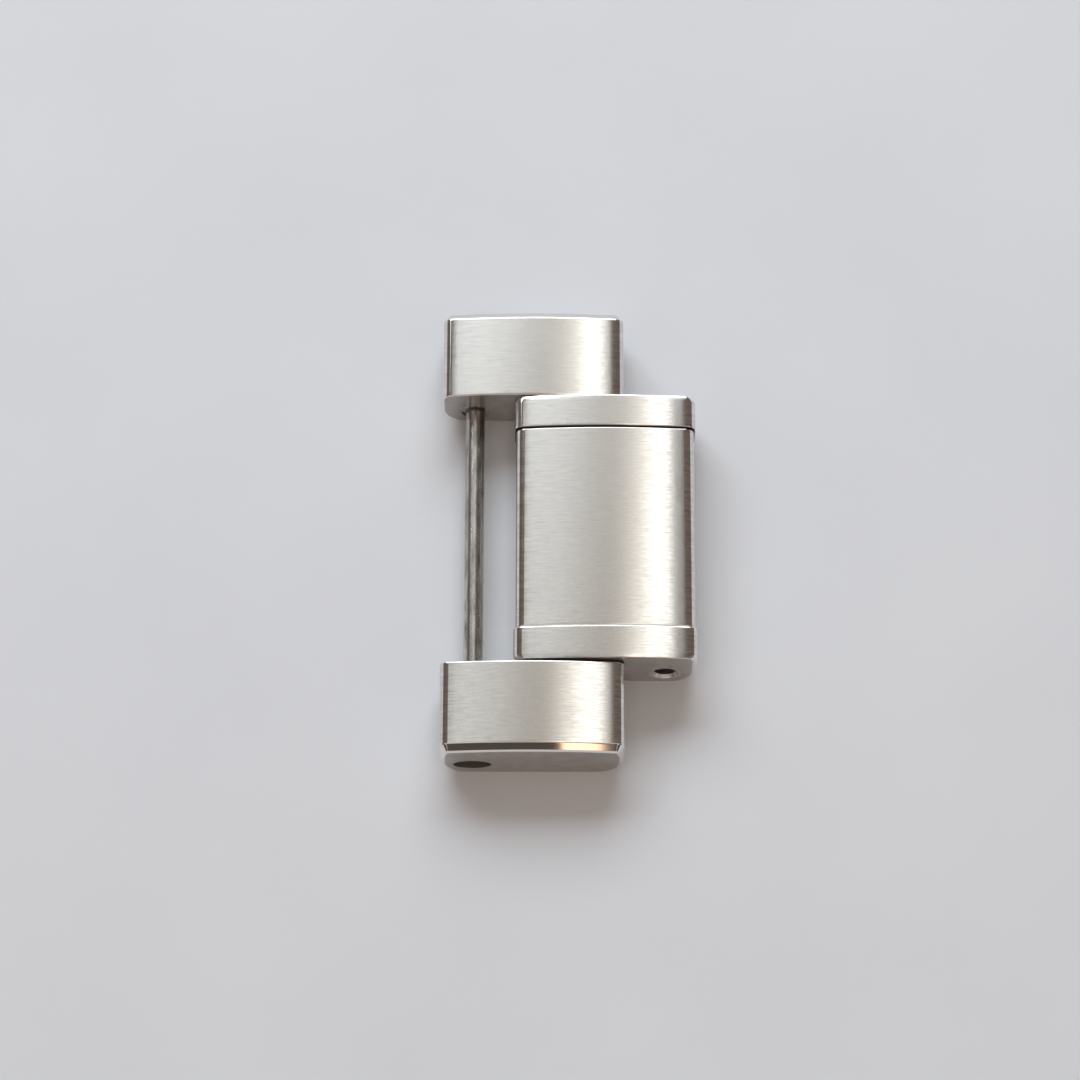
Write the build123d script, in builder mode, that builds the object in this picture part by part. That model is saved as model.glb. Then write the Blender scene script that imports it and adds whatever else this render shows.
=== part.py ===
from build123d import *
import math
import os

# A link of a solid watch bracelet, in millimetres.
# The origin lies on the underside, below the hinge axis and midway between the two outer faces.
# X runs along the bracelet, Y across it, Z up through the crowned top.

# Driving sizes of the whole link
overall_width = 20.0
outer_link_width = 3.95
outer_link_height = 2.87
pin_pitch = 4.03
pin_to_end = 1.36
hinge_to_overlap_end = 2.33
pin_height = 0.95

# The centre link sits a little towards the back, as far as its side play lets it
side_play = 0.13
side_play_share_back = 0.15
strip_width = 1.44
seam_gap = 0.03
strip_proud = 0.08

# The shape of the rounded side outline that all links share
crown_radius = 30.0
upper_corner_radius = 0.42
lower_corner_radius = 1.15
end_edge_radius = 0.28
edge_softness = 0.06

# The polished bevel along the outer crown edge of an outer link
bevel_angle = 40.0
bevel_length = 0.33
bevel_rim_radius = 0.20
bevel_run_out_angle = 14.0
bevel_run_out_length = 1.6

# Pins, bushes, tubes and their clearances
link_pin_radius = 0.41
link_pin_recess = 0.45
pin_tip_chamfer = 0.08
hinge_pin_radius = 0.41
hinge_pin_depth = 2.60
hinge_bore_end_room = 0.15
bush_radius = 0.685
bush_bore_radius = 0.45
bush_end_chamfer = 0.13
tube_radius = 0.60
tube_clearance = 0.02
tube_inner_recess = 0.08
mouth_half_length = 0.79
mouth_half_height = 0.44
mouth_depth = 0.85

# How far every cutting shape runs past the solid it cuts
overrun = 0.5

# Places worked out from the sizes above
half_width = overall_width / 2
inner_face = half_width - outer_link_width
centre_width = 2 * inner_face - side_play
centre_back_face = inner_face - side_play * side_play_share_back
centre_front_face = centre_back_face - centre_width
link_pin_x = -pin_pitch
free_bore_x = pin_pitch
outer_left = link_pin_x - pin_to_end
outer_right = hinge_to_overlap_end
centre_left = -hinge_to_overlap_end
centre_right = free_bore_x + pin_to_end
block_back_face = centre_back_face - strip_width - seam_gap
block_front_face = centre_front_face + strip_width + seam_gap

os.makedirs("parts", exist_ok=True)


def facing_front(y):
    # A sketch plane at a place across the link, its positive side towards the front
    return Plane.XZ.offset(-y)


def crown_half_angle(half_length):
    # The angle at which the crown arc runs over into the corner arc
    reach = half_length - upper_corner_radius
    return math.degrees(math.asin(reach / (crown_radius - upper_corner_radius)))


def side_outline(left, right, bottom, top):
    # Flat underside, generous lower corners, upright ends, tight upper corners, crowned top
    half_length = (right - left) / 2
    crown_angle = crown_half_angle(half_length)
    with BuildSketch() as outline:
        with BuildLine():
            crown = JernArc((0, top), (1, 0), crown_radius, -crown_angle)
            corner = JernArc(crown @ 1, crown % 1, upper_corner_radius, crown_angle - 90)
            upright = Line(corner @ 1, (half_length, bottom + lower_corner_radius))
            foot = JernArc(upright @ 1, (0, -1), lower_corner_radius, -90)
            Line(foot @ 1, (0, bottom))
            mirror(about=Plane.YZ)
        make_face()
    return Pos((left + right) / 2, 0) * outline.sketch


def rounded_end_plan(left, right, outer_face, towards_inside):
    # The plan of a link seen from above: its two outer corners rounded, its inner side left open
    depth = outer_link_width + overrun
    with BuildSketch() as plan:
        with Locations(((left + right) / 2, outer_face + towards_inside * depth / 2)):
            RectangleRounded(right - left, depth, end_edge_radius)
    return plan.sketch


def side_edges(part, y):
    # The edge loop round the side face that lies at a place across the link
    return part.faces().sort_by(lambda face: abs(face.center().Y - y))[0].outer_wire().edges()


# Bevel cutter: one section swept along the crown, round the corner and out past the end
outer_half_length = (outer_right - outer_left) / 2
outer_middle = (outer_left + outer_right) / 2
outer_crown_angle = crown_half_angle(outer_half_length)
bevel_slope = math.radians(bevel_angle)
slope_width = bevel_length * math.cos(bevel_slope)
rim_width = bevel_rim_radius * (1 - math.sin(bevel_slope))
bevel_start_inset = slope_width + rim_width
with BuildPart() as bevel_cutter:
    with BuildLine(Plane(origin=(outer_middle, half_width, 0), x_dir=(1, 0, 0), z_dir=(0, -1, 0))) as path:
        crown_run = JernArc((0, outer_link_height), (1, 0), crown_radius, -outer_crown_angle)
        corner_run = JernArc(
            crown_run @ 1,
            crown_run % 1,
            upper_corner_radius,
            outer_crown_angle + bevel_run_out_angle - 90,
        )
        Line(corner_run @ 1, corner_run @ 1 + bevel_run_out_length * (corner_run % 1))
    section_origin = (outer_middle, half_width, outer_link_height)
    with BuildSketch(Plane(origin=section_origin, x_dir=(0, 1, 0), z_dir=(1, 0, 0))):
        with BuildLine():
            slope = PolarLine((-bevel_start_inset, 0), bevel_length, angle=-bevel_angle)
            rim = JernArc(slope @ 1, slope % 1, bevel_rim_radius, bevel_angle - 90)
            Polyline(
                rim @ 1,
                rim @ 1 + (upper_corner_radius, 0),
                (upper_corner_radius, upper_corner_radius),
                (-bevel_start_inset, upper_corner_radius),
                slope @ 0,
            )
        make_face()
    sweep()
    mirror(about=Plane.YZ.offset(outer_middle))

# Outer link at the back: crowned body, rounded outer ends, bevel, stepped pin hole, blind hinge bore
with BuildPart() as outer_link_back:
    with BuildSketch(facing_front(half_width)):
        add(side_outline(outer_left, outer_right, 0, outer_link_height))
    extrude(amount=outer_link_width)
    fillet(side_edges(outer_link_back, inner_face), edge_softness)
    with BuildSketch():
        add(rounded_end_plan(outer_left, outer_right, half_width, -1))
    extrude(amount=outer_link_height, mode=Mode.INTERSECT)
    add(bevel_cutter.part, mode=Mode.SUBTRACT)
    with BuildSketch(facing_front(half_width - mouth_depth)):
        with Locations((link_pin_x, pin_height)):
            Circle(tube_radius)
    extrude(amount=outer_link_width - mouth_depth + overrun, mode=Mode.SUBTRACT)
    with BuildSketch(facing_front(half_width + overrun)):
        with Locations((link_pin_x, pin_height)):
            Ellipse(mouth_half_length, mouth_half_height)
    extrude(amount=mouth_depth + overrun, mode=Mode.SUBTRACT)
    with BuildSketch(facing_front(inner_face + hinge_pin_depth + hinge_bore_end_room)):
        with Locations((0, pin_height)):
            Circle(hinge_pin_radius)
    extrude(amount=hinge_pin_depth + hinge_bore_end_room + overrun, mode=Mode.SUBTRACT)
outer_link_back.part.label = "outer_link_back"
export_step(outer_link_back.part, "parts/outer_link_back.step")

# Outer link at the front: the mirror image of the one at the back
with BuildPart() as outer_link_front:
    mirror(outer_link_back.part, about=Plane.XZ)
outer_link_front.part.label = "outer_link_front"
export_step(outer_link_front.part, "parts/outer_link_front.step")


def crowned_bar(back, front, left, right, bottom, top, soft_faces):
    # A crowned bar across the link, with the edges of its named side faces softened
    with BuildPart() as bar:
        with BuildSketch(facing_front(back)):
            add(side_outline(left, right, bottom, top))
        extrude(amount=back - front)
        for y in soft_faces:
            fillet(side_edges(bar, y), edge_softness)
    return bar.part


def with_bush_bores(bar, back, front):
    # The same bar with the two bush bores of the centre link through it
    with BuildPart() as link:
        add(bar)
        with BuildSketch(facing_front(back + overrun)):
            with Locations((0, pin_height), (free_bore_x, pin_height)):
                Circle(bush_radius)
        extrude(amount=back - front + 2 * overrun, mode=Mode.SUBTRACT)
    return link.part


def side_strip(outer_face, inner_strip_face, towards_inside):
    # A strip between an outer link and the block, its outer ends rounded in plan
    back = max(outer_face, inner_strip_face)
    front = min(outer_face, inner_strip_face)
    strip_height = outer_link_height + strip_proud
    with BuildPart() as strip:
        add(crowned_bar(back, front, centre_left, centre_right, 0, strip_height, [inner_strip_face]))
        with BuildSketch():
            add(rounded_end_plan(centre_left, centre_right, outer_face, towards_inside))
        extrude(amount=strip_height, mode=Mode.INTERSECT)
    return with_bush_bores(strip.part, back, front)


# Side strips: they stand proud of the block along the top and at both ends
with BuildPart() as side_strip_back:
    add(side_strip(centre_back_face, centre_back_face - strip_width, -1))
side_strip_back.part.label = "side_strip_back"
export_step(side_strip_back.part, "parts/side_strip_back.step")

with BuildPart() as side_strip_front:
    add(side_strip(centre_front_face, centre_front_face + strip_width, 1))
side_strip_front.part.label = "side_strip_front"
export_step(side_strip_front.part, "parts/side_strip_front.step")

# Centre block: the wide middle piece, lower and shorter than its strips
block_left = centre_left + strip_proud
block_right = centre_right - strip_proud
block_faces = [block_back_face, block_front_face]
with BuildPart() as block_bar:
    add(crowned_bar(*block_faces, block_left, block_right, strip_proud, outer_link_height, block_faces))
with BuildPart() as centre_block:
    add(with_bush_bores(block_bar.part, *block_faces))
centre_block.part.label = "centre_block"
export_step(centre_block.part, "parts/centre_block.step")


def bush(x):
    # A bush from one strip face to the other, its two mouths slightly broken
    with BuildPart() as tube:
        with BuildSketch(facing_front(centre_back_face)):
            with Locations((x, pin_height)):
                Circle(bush_radius)
                Circle(bush_bore_radius, mode=Mode.SUBTRACT)
        extrude(amount=centre_width)
        mouths = tube.edges().filter_by(GeomType.CIRCLE).group_by(SortBy.RADIUS)[0]
        chamfer(mouths, bush_end_chamfer)
    return tube.part


# Hinge bush and free end bush: the same bush at both ends of the centre link
with BuildPart() as hinge_bush:
    add(bush(0))
hinge_bush.part.label = "hinge_bush"
export_step(hinge_bush.part, "parts/hinge_bush.step")

with BuildPart() as free_end_bush:
    add(bush(free_bore_x))
free_end_bush.part.label = "free_end_bush"
export_step(free_end_bush.part, "parts/free_end_bush.step")

# Hinge pin: hidden in the overlap, its two ends held in the blind bores
hinge_pin_end = inner_face + hinge_pin_depth
with BuildPart() as hinge_pin:
    with BuildSketch(facing_front(hinge_pin_end)):
        with Locations((0, pin_height)):
            Circle(hinge_pin_radius)
    extrude(amount=2 * hinge_pin_end)
    chamfer(hinge_pin.edges().filter_by(GeomType.CIRCLE), pin_tip_chamfer)
hinge_pin.part.label = "hinge_pin"
export_step(hinge_pin.part, "parts/hinge_pin.step")

# Link pin: the bare round pin that carries the next centre link, its ends sunk in the mouths
link_pin_end = half_width - link_pin_recess
with BuildPart() as link_pin:
    with BuildSketch(facing_front(link_pin_end)):
        with Locations((link_pin_x, pin_height)):
            Circle(link_pin_radius)
    extrude(amount=2 * link_pin_end)
    chamfer(link_pin.edges().filter_by(GeomType.CIRCLE), pin_tip_chamfer)
link_pin.part.label = "link_pin"
export_step(link_pin.part, "parts/link_pin.step")

# Friction tubes: one in each outer link, between the mouth and the inner face
tube_outer_end = half_width - mouth_depth
tube_inner_end = inner_face + tube_inner_recess
with BuildPart() as friction_tube_back:
    with BuildSketch(facing_front(tube_outer_end)):
        with Locations((link_pin_x, pin_height)):
            Circle(tube_radius)
            Circle(link_pin_radius + tube_clearance, mode=Mode.SUBTRACT)
    extrude(amount=tube_outer_end - tube_inner_end)
friction_tube_back.part.label = "friction_tube_back"
export_step(friction_tube_back.part, "parts/friction_tube_back.step")

with BuildPart() as friction_tube_front:
    mirror(friction_tube_back.part, about=Plane.XZ)
friction_tube_front.part.label = "friction_tube_front"
export_step(friction_tube_front.part, "parts/friction_tube_front.step")
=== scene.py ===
# %% [markdown]
# # A solid watch bracelet link in brushed steel
# The object is one link of a solid bracelet. Two wide outer links carry a centre link on a hidden pin.
# At the other end a bare push pin waits for the centre link of the next row.
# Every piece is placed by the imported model, so the first step loads that model as a fixed frame.

# %% Load the frame
import math

import bpy
import numpy as np
from mathutils import Matrix, Vector


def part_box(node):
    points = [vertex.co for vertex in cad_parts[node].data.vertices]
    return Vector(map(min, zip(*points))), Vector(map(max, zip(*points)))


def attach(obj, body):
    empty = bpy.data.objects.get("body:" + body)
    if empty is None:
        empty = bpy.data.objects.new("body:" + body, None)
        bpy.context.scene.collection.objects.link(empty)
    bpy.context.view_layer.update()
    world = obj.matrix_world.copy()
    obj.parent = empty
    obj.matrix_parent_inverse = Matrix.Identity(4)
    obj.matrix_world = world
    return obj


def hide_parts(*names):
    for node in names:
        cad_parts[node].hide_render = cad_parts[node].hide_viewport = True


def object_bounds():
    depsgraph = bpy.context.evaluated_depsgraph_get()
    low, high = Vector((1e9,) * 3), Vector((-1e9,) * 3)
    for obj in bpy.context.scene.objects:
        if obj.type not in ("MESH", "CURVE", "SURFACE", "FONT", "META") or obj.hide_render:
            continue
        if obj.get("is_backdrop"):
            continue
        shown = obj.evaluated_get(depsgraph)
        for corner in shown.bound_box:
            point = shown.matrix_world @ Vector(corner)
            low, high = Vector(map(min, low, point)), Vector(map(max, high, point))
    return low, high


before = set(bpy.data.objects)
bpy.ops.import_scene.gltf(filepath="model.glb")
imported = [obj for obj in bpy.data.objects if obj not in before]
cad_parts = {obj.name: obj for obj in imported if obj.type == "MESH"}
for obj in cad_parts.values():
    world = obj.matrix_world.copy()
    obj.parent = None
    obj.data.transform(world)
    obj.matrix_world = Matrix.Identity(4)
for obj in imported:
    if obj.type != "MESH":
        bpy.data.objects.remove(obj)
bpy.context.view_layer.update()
MM = 0.001
print("nodes in the frame:", sorted(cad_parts))

# %% [markdown]
# ## The sizes that the looks need
# A node's box gives where it lies. The rounded corners, the edge softness and the polished bevel don't
# show in a box, so they are named here with the same values as in the part's own source.

# %% Sizes in millimetres
CROWN_RADIUS = 30.0
UPPER_CORNER_RADIUS = 0.42
LOWER_CORNER_RADIUS = 1.15
END_EDGE_RADIUS = 0.28
EDGE_SOFTNESS = 0.06
BEVEL_ANGLE = 40.0
BEVEL_LENGTH = 0.33
BEVEL_RIM_RADIUS = 0.20
BEVEL_RUN_OUT_ANGLE = 14.0
BEVEL_START_RADIUS = 0.12
PIN_HEIGHT = 0.95
BUSH_RADIUS = 0.685
BUSH_BORE_RADIUS = 0.45
BUSH_MOUTH_CHAMFER = 0.13
TUBE_RADIUS = 0.60
MOUTH_HALF_LENGTH = 0.79
MOUTH_HALF_HEIGHT = 0.44
MOUTH_DEPTH = 0.85
HINGE_PIN_RADIUS = 0.41
HINGE_BORE_DEPTH = 2.75
PIN_TIP_CHAMFER = 0.08


def box_mm(node):
    # The lowest and the highest corner of a node, in millimetres
    low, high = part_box(node)
    return low / MM, high / MM


link_corners = box_mm("outer_link_back")
print("outer link box in mm:", [tuple(round(v, 3) for v in corner) for corner in link_corners])

# %% [markdown]
# ## The camera
# A product photograph of something this small is taken from some distance with a long lens, nearly from
# above. The camera looks at a point on the link from a chosen bearing, height and distance, and is rolled
# a little, because a camera in the hand is never quite level.

# %% Camera
CAMERA_BEARING = 0.89
CAMERA_ELEVATION = 67.85
CAMERA_ROLL = -0.77
CAMERA_DISTANCE = 190.9
CAMERA_TARGET = Vector((-1.23, -0.11, 1.5))
CAMERA_LENS = 150.0
CAMERA_NEAR_LIMIT = 5.0

bearing = math.radians(CAMERA_BEARING)
elevation = math.radians(CAMERA_ELEVATION)
backwards = Vector((
    math.cos(elevation) * math.sin(bearing),
    -math.cos(elevation) * math.cos(bearing),
    math.sin(elevation),
))
camera = bpy.data.objects.new("camera", bpy.data.cameras.new("camera"))
bpy.context.scene.collection.objects.link(camera)
camera.data.lens = CAMERA_LENS
camera.data.clip_start = CAMERA_NEAR_LIMIT * MM
place = Matrix.Translation((CAMERA_TARGET + CAMERA_DISTANCE * backwards) * MM)
level = backwards.to_track_quat("Z", "Y").to_matrix().to_4x4()
roll = Matrix.Rotation(math.radians(CAMERA_ROLL), 4, "Z")
camera.matrix_world = place @ level @ roll
bpy.context.scene.camera = camera
bpy.context.scene.view_settings.view_transform = "Standard"
print("camera at", [round(v, 4) for v in camera.matrix_world.translation])

# %% [markdown]
# ## A short hand for node trees
# Geometry and shader trees are both made of nodes and links. One helper adds a node, sets its plain
# settings and fills or links its inputs, and the others make a socket of a group, a step of arithmetic
# or the parts of a vector, so that each tree below reads as a list of steps.


# %% Helpers for nodes
def add_node(tree, kind, inputs=None, **settings):
    # inputs maps a socket's name or number to a value, or to another node's output socket
    node = tree.nodes.new(kind)
    for name, value in settings.items():
        setattr(node, name, value)
    for key, value in (inputs or {}).items():
        if isinstance(value, bpy.types.NodeSocket):
            tree.links.new(value, node.inputs[key])
        else:
            node.inputs[key].default_value = value
    return node


def add_socket(tree, name, kind, in_out="INPUT", value=None):
    # One named socket of a group, with its starting value
    socket = tree.interface.new_socket(name, in_out=in_out, socket_type="NodeSocket" + kind)
    if value is not None:
        socket.default_value = value
    return socket


def calculate(tree, operation, first, second=0.0, third=0.0):
    # One step of arithmetic, with numbers or sockets
    inputs = {0: first, 1: second, 2: third}
    return add_node(tree, "ShaderNodeMath", inputs, operation=operation).outputs[0]


def vector_step(tree, operation, first, second=None, scale=None):
    # One step of vector arithmetic, with a second vector or with a scale
    inputs = {0: first}
    if second is not None:
        inputs[1] = second
    if scale is not None:
        inputs["Scale"] = scale
    return add_node(tree, "ShaderNodeVectorMath", inputs, operation=operation).outputs["Vector"]


def parts_of(tree, vector):
    # The three parts of a vector
    return add_node(tree, "ShaderNodeSeparateXYZ", {0: vector}).outputs


print("helpers for nodes:", [f.__name__ for f in (add_node, add_socket, calculate, vector_step, parts_of)])

# %% [markdown]
# ## The rule behind every crowned piece
# The outer links, the block and the strips all share one form: a side outline with a crowned top, tight
# upper corners and generous lower ones, carried straight across the bracelet. They could be cubes with
# modifiers, but then the long crown would be a few flat steps, and polished steel shows every step.
# So the outline is worked out from arcs, and a geometry tree carries it across by a section.


# %% Side outline
LOWER_CORNER_STEPS = 32
UPPER_CORNER_STEPS = 48
CROWN_STEPS = 48
UPRIGHT_POINTS = 16


def arc(centre, radius, start, end, steps):
    # Points on an arc with their outward directions, angles in degrees
    angles = np.radians(np.linspace(start, end, steps + 1))
    outward = np.stack([np.cos(angles), np.sin(angles)], axis=1)
    return np.asarray(centre) + radius * outward, outward


def side_outline(left, right, bottom, top):
    # The closed outline seen from the front, with outward directions and how much bevel each point has
    middle = (left + right) / 2
    reach = (right - left) / 2 - UPPER_CORNER_RADIUS
    lean = math.degrees(math.asin(reach / (CROWN_RADIUS - UPPER_CORNER_RADIUS)))
    corner_height = top - CROWN_RADIUS + math.sqrt((CROWN_RADIUS - UPPER_CORNER_RADIUS) ** 2 - reach**2)
    foot_height = bottom + LOWER_CORNER_RADIUS
    upright_heights = np.linspace(foot_height, corner_height, UPRIGHT_POINTS)[1:-1]
    upright = np.stack([np.full_like(upright_heights, right), upright_heights], axis=1)
    sideways = np.tile([1.0, 0.0], (len(upright), 1))
    lower_middle = (right - LOWER_CORNER_RADIUS, foot_height)
    upper_middle = (right - UPPER_CORNER_RADIUS, corner_height)
    crown_middle = (middle, top - CROWN_RADIUS)
    crown_points, crown_outward = arc(crown_middle, CROWN_RADIUS, 90 - lean, 90, CROWN_STEPS)
    runs = [
        arc(lower_middle, LOWER_CORNER_RADIUS, -90, 0, LOWER_CORNER_STEPS),
        (upright, sideways),
        arc(upper_middle, UPPER_CORNER_RADIUS, 0, 90 - lean, UPPER_CORNER_STEPS),
        (crown_points[1:], crown_outward[1:]),
    ]
    right_points = np.concatenate([run[0] for run in runs])
    right_outward = np.concatenate([run[1] for run in runs])
    left_points = right_points[-2::-1] * [-1, 1] + [2 * middle, 0]
    left_outward = right_outward[-2::-1] * [-1, 1]
    points = np.concatenate([right_points, left_points])
    outward = np.concatenate([right_outward, left_outward])
    fall = np.clip(corner_height - points[:, 1], 0, None) * math.tan(math.radians(BEVEL_RUN_OUT_ANGLE))
    share = np.clip(1 - fall / bevel_drop, 0, 1)
    return points, outward, share


slope = math.radians(BEVEL_ANGLE)
bevel_drop = BEVEL_LENGTH * math.sin(slope) + BEVEL_RIM_RADIUS * math.cos(slope)
bevel_width = BEVEL_LENGTH * math.cos(slope) + BEVEL_RIM_RADIUS * (1 - math.sin(slope))
print(f"bevel: {bevel_width:.3f} mm wide, {bevel_drop:.3f} mm deep")

# %% [markdown]
# ## The sections
# A section says, at each place from the back face to the front face, how far the surface stands in from
# the outline. There are three kinds of edge: softened by a small quarter circle, rounded more generously
# where an outer corner is seen from above, and cut by the polished bevel with its rounded rim.
# All three are worked out on the same rows, and the tree takes the deepest one at each point, so the
# bevel runs out down the ends and the rounded corners take over, as on the real link.

# %% Edge sections
SUPPORT = 0.03
SOFT_EDGE_STEPS = 6
ROUND_EDGE_STEPS = 10
RIM_POINTS = 8
BEVEL_START_POINTS = 6
DIGITS = 6


def quarter_inset(distance, radius):
    # How far a quarter circle stands in at a distance from the face
    reach = np.clip(radius - distance, 0, radius)
    return radius - np.sqrt(radius**2 - reach**2)


def bevel_inset(distance):
    # The bevel with its rounded start and its rim, at a distance from the outer face
    tangent = BEVEL_START_RADIUS * math.tan(slope / 2)
    fall = (bevel_width - distance) * math.tan(slope)
    start_arc = distance - (bevel_width + tangent)
    rounded = BEVEL_START_RADIUS - np.sqrt(np.clip(BEVEL_START_RADIUS**2 - start_arc**2, 0, None))
    on_start = (distance < bevel_width + tangent) & (distance > bevel_width - tangent * math.cos(slope))
    reach = np.clip(BEVEL_RIM_RADIUS - distance, 0, BEVEL_RIM_RADIUS)
    rim = bevel_drop - np.sqrt(BEVEL_RIM_RADIUS**2 - reach**2)
    on_rim = distance < BEVEL_RIM_RADIUS * (1 - math.sin(slope))
    inset = np.where(on_rim, rim, np.where(on_start, rounded, fall))
    return np.clip(inset, 0, None)


def edge_rows(distances, rounded_end, bevelled):
    # Rows of place, soft inset, end inset and bevel inset
    distances = np.asarray(distances)
    soft = quarter_inset(distances, EDGE_SOFTNESS)
    end = quarter_inset(distances, END_EDGE_RADIUS) if rounded_end else soft
    bevel = bevel_inset(distances) if bevelled else np.zeros_like(distances)
    return np.stack([distances, soft, end, bevel], axis=1)


def quarter_rows(radius, steps):
    # Distances from the face that follow a quarter circle evenly
    return radius * (1 - np.sin(np.radians(np.linspace(0, 90, steps + 1))))


def rounded_set(distances):
    # Distances without repeats, rounded so that equal ones meet
    return set(np.round(distances, DIGITS))


def section_rows(back, front, back_edge, front_edge):
    # The rows from the back face to the front face, each edge soft, rounded or bevelled
    rows = []
    for face, inwards, edge in ((back, -1, back_edge), (front, 1, front_edge)):
        distances = rounded_set(quarter_rows(EDGE_SOFTNESS, SOFT_EDGE_STEPS))
        distances |= rounded_set([EDGE_SOFTNESS + SUPPORT])
        if edge != "soft":
            distances |= rounded_set(quarter_rows(END_EDGE_RADIUS, ROUND_EDGE_STEPS))
        if edge == "bevelled":
            rim_turns = np.radians(np.linspace(BEVEL_ANGLE, 90, RIM_POINTS))
            start_turns = np.radians(np.linspace(0, BEVEL_ANGLE, BEVEL_START_POINTS))
            start_middle = bevel_width + BEVEL_START_RADIUS * math.tan(slope / 2)
            distances |= rounded_set(BEVEL_RIM_RADIUS * (1 - np.sin(rim_turns)))
            distances |= rounded_set(start_middle - BEVEL_START_RADIUS * np.sin(start_turns))
            distances |= rounded_set([start_middle + SUPPORT])
        table = edge_rows(sorted(distances), edge != "soft", edge == "bevelled")
        table[:, 0] = face + inwards * table[:, 0]
        rows.append(table)
    return np.concatenate([rows[0], rows[1][::-1]])


link_rows = section_rows(link_corners[1].y, link_corners[0].y, "bevelled", "soft")
print("rows in the section of the back link:", len(link_rows))

# %% [markdown]
# ## The tree that carries an outline across
# The tree lays a grid over the piece: one direction runs round the outline, the other along the section.
# Each grid point takes its place from one outline point and one section row. Two copies of the outline's
# own face close the ends, a Mesh Boolean cuts the holes, and the last nodes set the shading and the
# material. Building the five crowned pieces from one tree keeps their family likeness exact.


# %% Tree: place on a section
def stored_value(tree, name, kind="FLOAT"):
    # A value stored on the points
    inputs = {"Name": name}
    return add_node(tree, "GeometryNodeInputNamedAttribute", inputs, data_type=kind).outputs[0]


def value_at(tree, geometry, index, value, kind):
    # What a value is at one point of a geometry
    sample = add_node(
        tree,
        "GeometryNodeSampleIndex",
        {"Geometry": geometry, "Index": index},
        data_type=kind,
        domain="POINT",
    )
    tree.links.new(value, sample.inputs["Value"])
    return sample.outputs["Value"]


def section_place_tree():
    # Puts one point of the outline on one row of the section
    tree = bpy.data.node_groups.new("place on section", "GeometryNodeTree")
    add_socket(tree, "Outline", "Geometry")
    add_socket(tree, "Section", "Geometry")
    add_socket(tree, "Outline Point", "Int")
    add_socket(tree, "Section Row", "Int")
    add_socket(tree, "Place", "Vector", "OUTPUT")
    given = add_node(tree, "NodeGroupInput").outputs
    position = add_node(tree, "GeometryNodeInputPosition").outputs[0]

    def on_outline(value, kind="FLOAT"):
        # A value at the chosen point of the outline
        return value_at(tree, given["Outline"], given["Outline Point"], value, kind)

    def on_section(value, kind="FLOAT"):
        # A value at the chosen row of the section
        return value_at(tree, given["Section"], given["Section Row"], value, kind)

    outline_point = on_outline(position, "FLOAT_VECTOR")
    outward = on_outline(stored_value(tree, "outward", "FLOAT_VECTOR"), "FLOAT_VECTOR")
    bevel_share = on_outline(stored_value(tree, "bevel_share"))
    row_place = on_section(position, "FLOAT_VECTOR")
    soft_cut = on_section(stored_value(tree, "soft_inset"))
    end_share = calculate(tree, "ABSOLUTE", parts_of(tree, outward)[0])
    end_cut = calculate(tree, "MULTIPLY", on_section(stored_value(tree, "end_inset")), end_share)
    bevel_cut = calculate(tree, "MULTIPLY", on_section(stored_value(tree, "bevel_inset")), bevel_share)
    deepest = calculate(tree, "MAXIMUM", calculate(tree, "MAXIMUM", soft_cut, end_cut), bevel_cut)
    shift = vector_step(tree, "SCALE", outward, scale=deepest)
    place = parts_of(tree, vector_step(tree, "SUBTRACT", outline_point, shift))
    across = parts_of(tree, row_place)[1]
    result = add_node(tree, "ShaderNodeCombineXYZ", {0: place[0], 1: across, 2: place[2]})
    add_node(tree, "NodeGroupOutput", {"Place": result.outputs[0]})
    return tree


place_on_section = section_place_tree()
print("nodes in the placing tree:", len(place_on_section.nodes))


# %% Steps that both shape trees share
MERGE_DISTANCE = 0.0001
SHARP_ANGLE = math.radians(28)
FLAT_LEAN = 0.9999


def point_count(tree, geometry):
    # How many points a geometry has
    return add_node(tree, "GeometryNodeAttributeDomainSize", {0: geometry}).outputs["Point Count"]


def column_and_row(tree, index, rows):
    # Where a grid point lies, the rows running from back to front
    past_columns = calculate(tree, "DIVIDE", calculate(tree, "ADD", index, 0.5), rows)
    return calculate(tree, "FLOOR", past_columns), calculate(tree, "FLOORED_MODULO", index, rows)


def wrapped_grid(tree, around, rows):
    # A grid that goes once round, so its last column meets the first
    inputs = {"Vertices X": calculate(tree, "ADD", around, 1.0), "Vertices Y": rows}
    return add_node(tree, "GeometryNodeMeshGrid", inputs).outputs["Mesh"]


def moved_to(tree, geometry, place):
    # A geometry with its points put in their places
    return add_node(tree, "GeometryNodeSetPosition", {"Geometry": geometry, "Position": place}).outputs[0]


def merged(tree, geometry):
    # A geometry whose touching points are one
    inputs = {0: geometry, "Distance": MERGE_DISTANCE * MM}
    return add_node(tree, "GeometryNodeMergeByDistance", inputs).outputs[0]


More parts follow.
